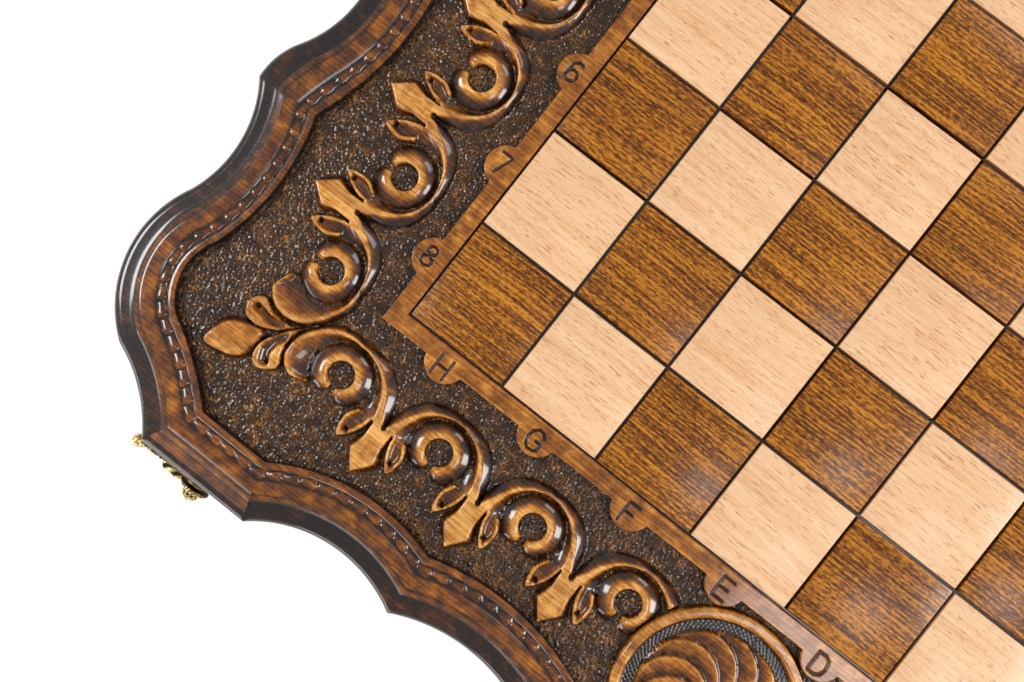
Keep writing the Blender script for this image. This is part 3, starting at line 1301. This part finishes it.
for half, rear in HALVES:
    dark_parity = 1 if rear else 0
    for colour, parity, material in (
        ("dark", dark_parity, DARK_SQUARE),
        ("light", 1 - dark_parity, LIGHT_SQUARE),
    ):
        node = half + "_" + colour + "_squares"
        piece = squares(node + "_wood", parity, material, rear)
        finish_piece(piece, half + "_case", colour + "_squares", node)
    groove_bed(half, rear)


# Case walls, rails and backgammon field
# Solid beech walls stained like the top, a thinner rail at the hinges, and inside each half a panel with
# inlaid points. They keep the shapes of their parts, and take their wood from the materials below.
def wall_wood(name, colours, along_y=False, wear=0.5):
    """Streaked wood whose grain runs along X or Y, from its dark, middle and pale colour."""
    f = Finish(name, coat=0.6, roughness=0.36)
    place = f.coordinates()
    if along_y:
        turned = f.nodes.new("ShaderNodeMapping")
        turned.inputs["Rotation"].default_value = (0.0, 0.0, math.radians(90))
        f.put(turned.inputs["Vector"], place)
        place = turned.outputs[0]
    grain = f.grain(place, streak_size=260.0, wave=0.008, fleck_size=1200.0)
    colour = f.ramp(grain["Streaks"], *zip(STREAKS, colours))
    colour = f.mix(f.math("MULTIPLY", grain["Flecks"], 0.5), colour, (0.45, 0.32, 0.24), "MULTIPLY")
    colour = f.mix(f.remap(grain["Cloud"], 0.35, 0.70, 0.0, wear), colour, (0.55, 0.45, 0.38), "MULTIPLY")
    normal = f.bump(grain["Fibre"], 0.00006)
    return f.done(colour, normal, f.remap(grain["Cloud"], 0.3, 0.7, 0.30, 0.44))


STREAKS = (0.30, 0.50, 0.70)
WALL_COLOURS = ((0.060, 0.020, 0.006), (0.150, 0.052, 0.013), (0.250, 0.095, 0.024))
RAIL_COLOURS = ((0.090, 0.032, 0.009), (0.190, 0.072, 0.018), (0.290, 0.120, 0.032))
PANEL_COLOURS = ((0.330, 0.140, 0.040), (0.480, 0.230, 0.075), (0.600, 0.320, 0.120))
DARK_POINT_COLOURS = ((0.040, 0.014, 0.005), (0.080, 0.028, 0.009), (0.130, 0.050, 0.015))
LIGHT_POINT_COLOURS = ((0.640, 0.370, 0.170), (0.780, 0.500, 0.260), (0.860, 0.600, 0.350))
WALL = wall_wood("wall_beech", WALL_COLOURS)
SIDE_WALL = wall_wood("side_wall_beech", WALL_COLOURS, along_y=True)
RAIL = wall_wood("rail_beech", RAIL_COLOURS)
PANEL = wall_wood("field_panel_beech", PANEL_COLOURS, wear=0.3)
DARK_POINT = wall_wood("dark_point_walnut", DARK_POINT_COLOURS, wear=0.3)
LIGHT_POINT = wall_wood("light_point_maple", LIGHT_POINT_COLOURS, wear=0.2)


def dress(node, material):
    """Gives a part as it was packed its material."""
    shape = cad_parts[node]
    shape.data.materials.clear()
    shape.data.materials.append(material)


for half in ("front", "rear"):
    for part, material in (
        ("outer_wall", WALL), ("left_wall", SIDE_WALL), ("right_wall", SIDE_WALL), ("hinge_rail", RAIL),
        ("field_panel", PANEL), ("dark_points", DARK_POINT), ("light_points", LIGHT_POINT),
        ("carved_panel", CARVED), ("dark_squares", DARK_SQUARE), ("light_squares", LIGHT_SQUARE),
    ):
        dress(half + "_" + part, material)


# Hinges
# Plain brass butt hinges let into the rails, each with a pin and six countersunk screws.
def metal(name, stops, roughness, dirt=0.5):
    """Plain metal, clouded and specked with dirt."""
    f = Finish(name, coat=0.0, roughness=roughness)
    f.shader.inputs["Metallic"].default_value = 1.0
    place = f.coordinates()
    cloud = f.noise(place, 220.0, 4.0, 0.6)
    specks = f.noise(place, 1500.0, 3.0, 0.6)
    colour = f.ramp(f.math("ADD", f.math("MULTIPLY", cloud, 0.7), f.math("MULTIPLY", specks, 0.3)), *stops)
    colour = f.mix(f.remap(specks, 0.58, 0.72, 0.0, dirt), colour, (0.20, 0.14, 0.08), "MULTIPLY")
    normal = f.bump(specks, 0.00002)
    return f.done(colour, normal, f.remap(cloud, 0.3, 0.7, roughness - 0.08, roughness + 0.10))


BRASS_STOPS = ((0.35, (0.42, 0.26, 0.08)), (0.50, (0.66, 0.44, 0.16)), (0.65, (0.82, 0.60, 0.28)))
HINGE_BRASS = metal("hinge_brass", BRASS_STOPS, 0.30)
PIN_BRASS = metal("pin_brass", ((0.35, (0.30, 0.19, 0.07)), (0.65, (0.55, 0.38, 0.15))), 0.34)
SCREW_BRASS = metal("screw_brass", BRASS_STOPS, 0.24, dirt=0.3)
for side in ("left", "right"):
    dress(side + "_hinge_front_leaf", HINGE_BRASS)
    dress(side + "_hinge_rear_leaf", HINGE_BRASS)
    dress(side + "_hinge_pin", PIN_BRASS)
for half in ("front", "rear"):
    dress(half + "_hinge_screws", SCREW_BRASS)


# Latches
# Brass hooks on the front wall catch studs on the rear wall, and all stand on turned black discs.
# A hook has a ribbed flange with a filigree dome, and a flat arm with twisted bars and a ball end.
WALL_Y = EDGE - 2.0
LATCH_X = FIELD + 28.0
LATCH_Z = (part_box("left_hook_disc")[0].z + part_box("left_hook_disc")[1].z) / 2 / MM
DISC_R = 8.0
DISC_T = 8.0
ARM_Z = 8.2
ARM_L = 28.0
HEAD_Z = 10.8
DOME_Z = HEAD_Z + 2.4
PIN_FOOT = ((1.75, -11.5, 0.4),)
NOTCH_R = 20.3
NOTCH_HALF = 1.9
NOTCH_EYE_R = 4.3
KNOB_R = 2.6


def black_lacquer():
    """Glossy black lacquer on turned wood, with faint brown specks."""
    f = Finish("black_lacquered_wood", coat=1.0, roughness=0.30)
    place = f.coordinates()
    cloud = f.noise(place, 180.0, 3.0, 0.5)
    rings = f.noise(place, 1200.0, 3.0, 0.6)
    colour = f.ramp(cloud, (0.3, (0.006, 0.004, 0.003)), (0.7, (0.020, 0.013, 0.009)))
    colour = f.mix(f.remap(rings, 0.62, 0.72, 0.0, 0.5), colour, (0.07, 0.045, 0.028))
    return f.done(colour, f.bump(rings, 0.00004), f.remap(cloud, 0.3, 0.7, 0.22, 0.36))


def antique_brass():
    """Brass that is bright on its high places and dark in its hollows."""
    f = Finish("antique_brass", coat=0.0, roughness=0.28)
    f.shader.inputs["Metallic"].default_value = 1.0
    place = f.coordinates()
    tone = f.attribute("tone").outputs["Fac"]
    cloud = f.noise(place, 300.0, 4.0, 0.6)
    worn = f.math("ADD", tone, f.remap(cloud, 0.3, 0.7, -0.15, 0.15), clamp=True)
    colour = f.ramp(
        worn, (0.0, (0.012, 0.008, 0.005)), (0.40, (0.07, 0.045, 0.018)), (0.75, (0.42, 0.28, 0.10)),
        (1.0, (0.86, 0.64, 0.30)),
    )
    return f.done(colour, f.bump(cloud, 0.00003), f.remap(worn, 0.0, 1.0, 0.55, 0.22))


BLACK_DISC = black_lacquer()
ANTIQUE = antique_brass()


def at_latch(points, side, rear):
    """Latch coordinates to the board: local z stands out from the wall, local x runs along it."""
    outward = 1 if rear else -1
    return [(side * (LATCH_X - x), outward * (WALL_Y + z), LATCH_Z + y) for x, y, z in points]


def turned(profile, around=64, ripple=0.0, lobes=0):
    """A turned form from (radius, height, tone) rows, closed at both ends on the axis."""
    points, tones = [], []
    for r, z, tone in profile:
        for k in range(around):
            a = 2 * math.pi * k / around
            wave = 1 + ripple * math.cos(lobes * a) * (1 if tone > 0.5 else 0)
            points.append((r * wave * math.cos(a), r * wave * math.sin(a), z))
            tones.append(tone * (1 - 0.5 * (ripple > 0) * (0.5 - 0.5 * math.cos(lobes * a))))
    rows = len(profile)
    faces = skin(rows, around)
    low, high = len(points), len(points) + 1
    points += [(0, 0, profile[0][1]), (0, 0, profile[-1][1])]
    tones += [profile[0][2], profile[-1][2]]
    faces += [(low, (k + 1) % around, k) for k in range(around)]
    top = (rows - 1) * around
    faces += [(high, top + k, top + (k + 1) % around) for k in range(around)]
    return points, faces, tones


def joined(*parts):
    """Several forms as one."""
    points, faces, tones = [], [], []
    for p, f, t in parts:
        base = len(points)
        points += p
        tones += t
        faces += [tuple(base + i for i in face) for face in f]
    return points, faces, tones


def moved(part, x, y, z):
    """A form shifted by x, y and z."""
    return [(px + x, py + y, pz + z) for px, py, pz in part[0]], part[1], part[2]


def oval_rows(across, up, middle_z, start, end, steps, tone):
    """Profile rows along part of an oval round the axis, from one angle to another."""
    turns = np.radians(np.linspace(start, end, steps))
    return [(across * math.cos(t), middle_z + up * math.sin(t), tone) for t in turns]


def disc_form():
    """A flat turned disc with one groove round it."""
    return turned([
        (DISC_R - 0.3, 0.0, 0.2), (DISC_R, 0.4, 0.5), (DISC_R, 3.4, 0.5), (DISC_R - 0.35, 3.7, 0.2),
        (DISC_R - 0.35, 4.1, 0.2), (DISC_R, 4.4, 0.5), (DISC_R, DISC_T - 1.2, 0.5),
        (DISC_R - 0.3, DISC_T - 0.5, 0.5), (DISC_R - 1.0, DISC_T - 0.1, 0.5), (2.0, DISC_T - 0.05, 0.4),
    ])


def rosette_form():
    """The pivot pin, a flange with small ribs, beads round it, and a dome wrapped in wire."""
    pin = turned([*PIN_FOOT, (1.75, HEAD_Z + 0.2, 0.4)], 24)
    rim = [
        (5.6, HEAD_Z + 0.05, 0.3), (5.85, HEAD_Z + 0.4, 0.8), (5.85, HEAD_Z + 1.1, 0.8),
        (5.2, HEAD_Z + 1.5, 0.6), (4.4, HEAD_Z + 1.45, 0.2), (3.9, HEAD_Z + 1.6, 0.2),
    ]
    flange = turned(rim, 96, 0.02, 24)
    bead = turned(oval_rows(0.62, 0.62, 0.0, -80, 80, 7, 0.9), 8)
    beads = []
    for k in range(18):
        a = 2 * math.pi * k / 18
        beads.append(moved(bead, 4.45 * math.cos(a), 4.45 * math.sin(a), HEAD_Z + 1.65))
    wires = [turned([(3.4, HEAD_Z + 1.2, 0.12)] + oval_rows(3.45, 3.35, DOME_Z, 0, 84, 12, 0.12), 32)]
    for level, count in ((12, 12), (38, 9), (62, 6), (90, 1)):
        a = math.radians(level)
        for k in range(count):
            b = 2 * math.pi * (k + 0.5 * (level == 38)) / count
            size = 0.72 if level < 90 else 0.8
            wires.append(wire_ring(a, b, size))
    return joined(pin, flange, *beads, *wires)


def wire_ring(a, b, size):
    """A small ring of wire lying on the dome, at height angle a and turn b."""
    out = np.array([math.cos(a) * math.cos(b), math.cos(a) * math.sin(b), math.sin(a)])
    level = np.array([-math.sin(b), math.cos(b), 0.0])
    up = np.cross(out, level)
    middle = out * 3.42 + np.array([0.0, 0.0, DOME_Z])
    thick, around, across = 0.19, 12, 6
    points, faces, tones = [], [], []
    for i in range(around):
        t = 2 * math.pi * i / around
        spoke = level * math.cos(t) + up * math.sin(t)
        for j in range(across):
            s = 2 * math.pi * j / across
            p = middle + spoke * (size + thick * math.cos(s)) + out * thick * math.sin(s)
            points.append(tuple(p))
            tones.append(0.85 + 0.15 * math.sin(s))
    for i in range(around):
        for j in range(across):
            a0, a1 = i * across + j, i * across + (j + 1) % across
            b0, b1 = ((i + 1) % around) * across + j, ((i + 1) % around) * across + (j + 1) % across
            faces.append((a0, b0, b1, a1))
    return points, faces, tones


def stud_form():
    """The catch's pin with its slim neck and a plain dome."""
    rows = [
        *PIN_FOOT, (1.75, DISC_T, 0.5), (1.45, DISC_T + 0.05, 0.5), (1.45, HEAD_Z, 0.5),
        (3.4, HEAD_Z + 0.05, 0.3), (3.75, HEAD_Z + 0.4, 0.8), (3.75, HEAD_Z + 1.0, 0.8),
        (3.5, HEAD_Z + 1.3, 0.25),
    ]
    return turned(rows + oval_rows(3.7, 3.7, DOME_Z, 4, 86, 12, 0.85), 40)


def latch_piece(node, made, part, side, rear, material, body, slot):
    """One form of a latch at its place on the board, instead of its CAD node."""
    points, faces, tones = part
    points = at_latch(points, side, rear)
    piece = closed(new_piece(node + "_" + made, points, faces, material, tones), 40)
    finish_piece(piece, body, slot, node)


for side_name, side in (("left", -1), ("right", 1)):
    hook, catch = side_name + "_hook", side_name + "_catch"
    latch_piece(hook + "_disc", "turned", disc_form(), side, False, BLACK_DISC, "front_case", "latch_discs")
    latch_piece(catch + "_disc", "turned", disc_form(), side, True, BLACK_DISC, "rear_case", "latch_discs")
    latch_piece(catch + "_stud", "turned", stud_form(), side, True, ANTIQUE, "rear_case", "antique_brass")


def circle_part(middle_x, r, start, end, steps):
    """Points of a circle on the arm's middle line, from one angle to another, in degrees."""
    turns = np.radians(np.linspace(start, end, steps))
    return [(middle_x + r * math.cos(t), r * math.sin(t)) for t in turns]


def arm_outline():
    """The arm's plan, with its notch open downwards."""
    line = circle_part(0, 5.2, -143, 143, 30)
    line += circle_part(-NOTCH_R, NOTCH_EYE_R, 46, 140, 12)
    line += [(-ARM_L, 1.6), (-ARM_L, -1.6)]
    line += circle_part(-NOTCH_R, NOTCH_EYE_R, 220, 243, 4)
    line += circle_part(0, NOTCH_R + NOTCH_HALF, 188.5, 180, 5)
    line += circle_part(-NOTCH_R, NOTCH_HALF, 170, 10, 11)
    line += circle_part(0, NOTCH_R - NOTCH_HALF, 180, 189.5, 5)
    line += circle_part(-NOTCH_R, NOTCH_EYE_R, 307, 314, 3)
    return line


def rib(x0, y0, x1, y1, z, thick):
    """A half-round bar with rounded ends, laid on the arm."""
    rows, across = 5, 7
    ahead = np.array([x1 - x0, y1 - y0])
    length = float(np.hypot(*ahead))
    ahead = ahead / length
    side = np.array([-ahead[1], ahead[0]])
    points, tones = [], []
    for i in range(rows):
        t = i / (rows - 1)
        size = thick * math.sqrt(max(0.06, 1 - (2 * t - 1) ** 4))
        for j in range(across):
            turn = math.pi * j / (across - 1)
            at = np.array([x0, y0]) + ahead * length * t + side * size * math.cos(turn)
            points.append((at[0], at[1], z - 0.15 + (size * 0.95 + 0.15) * math.sin(turn)))
            tones.append(0.25 + 0.7 * math.sin(turn))
    faces = [
        (i * across + j, i * across + j + 1, (i + 1) * across + j + 1, (i + 1) * across + j)
        for i in range(rows - 1) for j in range(across - 1)
    ]
    faces += [
        (i * across, (i + 1) * across, (i + 1) * across + across - 1, i * across + across - 1)
        for i in range(rows - 1)
    ]
    faces += [tuple(range(across)), tuple((rows - 1) * across + j for j in range(across))]
    return points, faces, tones


def twisted_bar(x0, x1, width, height):
    """A rope-like bar that lies on the arm: an oval twisted along its length, bright on its strands."""
    rows, around = 41, 28
    middle = ARM_Z + 0.4 + height
    points, tones = [], []
    for i in range(rows):
        t = i / (rows - 1)
        ends = math.sqrt(max(0.10, 1 - (2 * t - 1) ** 6))
        for k in range(around):
            a = 2 * math.pi * k / around
            strand = math.cos(3 * a + (x1 - x0) * t * 1.25)
            size = ends * (1 + 0.10 * strand)
            y, z = width * size * math.cos(a), middle + height * size * math.sin(a)
            points.append((x0 + (x1 - x0) * t, y, z))
            tones.append(0.45 + 0.50 * strand)
    faces = skin(rows, around)
    faces += [tuple(range(around)), tuple((rows - 1) * around + k for k in range(around))]
    return points, faces, tones


def arm_form():
    """The flat arm, ribs beside its notch, twisted bars on both sides of it, a collar and the ball."""
    loop = np.array(arm_outline())
    n = len(loop)
    levels = ((0.0, ARM_Z, 0.3), (0.0, ARM_Z + 1.5, 0.55), (0.3, ARM_Z + 1.8, 0.35))
    points, tones = [], []
    ahead = np.roll(loop, -1, axis=0) - np.roll(loop, 1, axis=0)
    ahead = ahead / np.maximum(np.hypot(ahead[:, 0], ahead[:, 1])[:, None], 1e-6)
    inward = np.stack([-ahead[:, 1], ahead[:, 0]], axis=1)
    for inset, z, tone in levels:
        moved_in = loop + inward * inset
        points += [(px, py, z) for px, py in moved_in]
        tones += [tone] * n
    faces = skin(len(levels), n)
    faces += [tuple(range(n)), tuple(range(2 * n, 3 * n))]
    parts = [(points, faces, tones)]
    for k in range(5):
        x = -17.0 - 1.75 * k
        lowest = 2.35 if -23.2 < x < -17.4 else 0.8
        parts.append(rib(x - 0.7, lowest, x + 0.7, 3.6, ARM_Z + 1.75, 0.62))
    parts.append(twisted_bar(-5.5, -15.6, 2.7, 2.2))
    parts.append(twisted_bar(-24.9, -28.0, 2.0, 1.9))
    ball = turned(oval_rows(KNOB_R, KNOB_R, 0.0, -86, 86, 15, 0.9), 28)
    parts.append(moved(ball, -ARM_L, 0.0, ARM_Z + KNOB_R))
    collar = [(1.3, -0.7, 0.3), (1.8, -0.35, 0.8), (1.8, 0.35, 0.8), (1.3, 0.7, 0.3)]
    points, faces, tones = turned(collar, 20)
    parts.append(([(z - ARM_L + 3.0, y, x + ARM_Z + 1.9) for x, y, z in points], faces, tones))
    return joined(*parts)


for side_name, side in (("left", -1), ("right", 1)):
    hook = side_name + "_hook"
    latch_piece(hook + "_arm", "twisted", arm_form(), side, False, ANTIQUE, hook, "antique_brass")
    latch_piece(
        hook + "_rosette", "filigree", rosette_form(), side, False, ANTIQUE, "front_case", "antique_brass",
    )
